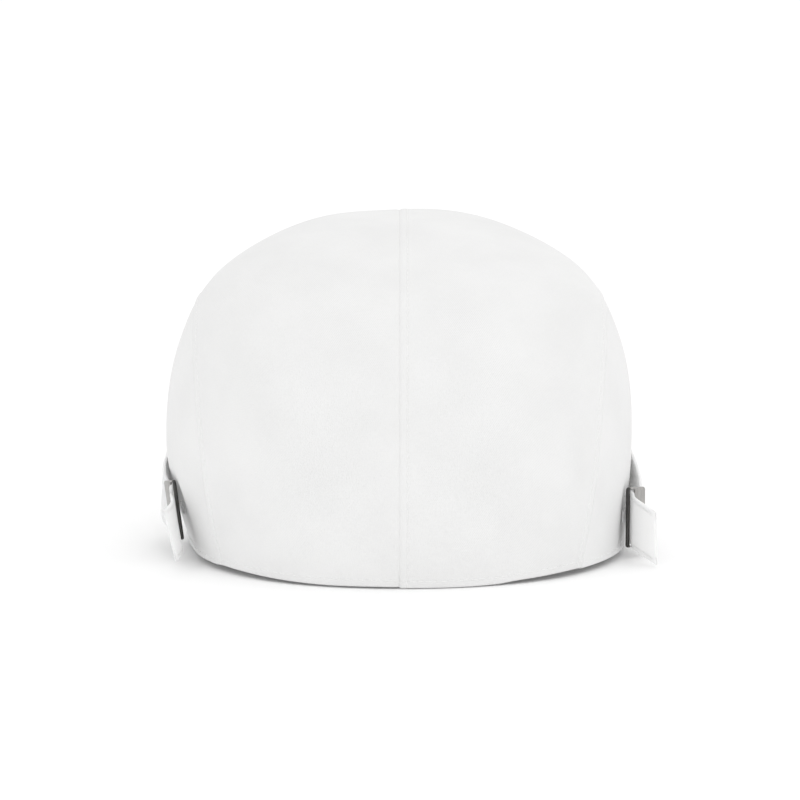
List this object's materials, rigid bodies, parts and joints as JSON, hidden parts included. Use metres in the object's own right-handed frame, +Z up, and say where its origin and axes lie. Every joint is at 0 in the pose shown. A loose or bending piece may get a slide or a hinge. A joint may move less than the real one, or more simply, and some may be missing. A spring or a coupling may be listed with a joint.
{
  "type": "cloth flat cap with a peak and side adjuster straps",
  "caption": "White cotton flat cap with a seamed crown, side panels, a stiff peak and a cloth strap through a metal slide buckle on each side, resting on its rim",
  "frame": {"origin": "on the surface that the cap rests on, under the middle of the whole cap's box", "axes": "+Y points to the front with the peak, +X to the wearer's right, +Z up"},
  "size_m": [0.189, 0.26, 0.1293],
  "materials": {
    "cap_cloth": "white cotton twill, matt, fine weave",
    "strap_cloth": "white cotton twill, folded double and stitched",
    "buckle_metal": "brushed nickel-plated steel"
  },
  "bodies": {
    "root": {"crown_left": "cap_cloth", "crown_right": "cap_cloth", "side_left": "cap_cloth", "side_right": "cap_cloth", "peak": "cap_cloth", "strap_left": "strap_cloth", "strap_right": "strap_cloth", "buckle_tab_left": "strap_cloth", "buckle_tab_right": "strap_cloth", "buckle_left": "buckle_metal", "buckle_right": "buckle_metal"}
  },
  "joints": []
}
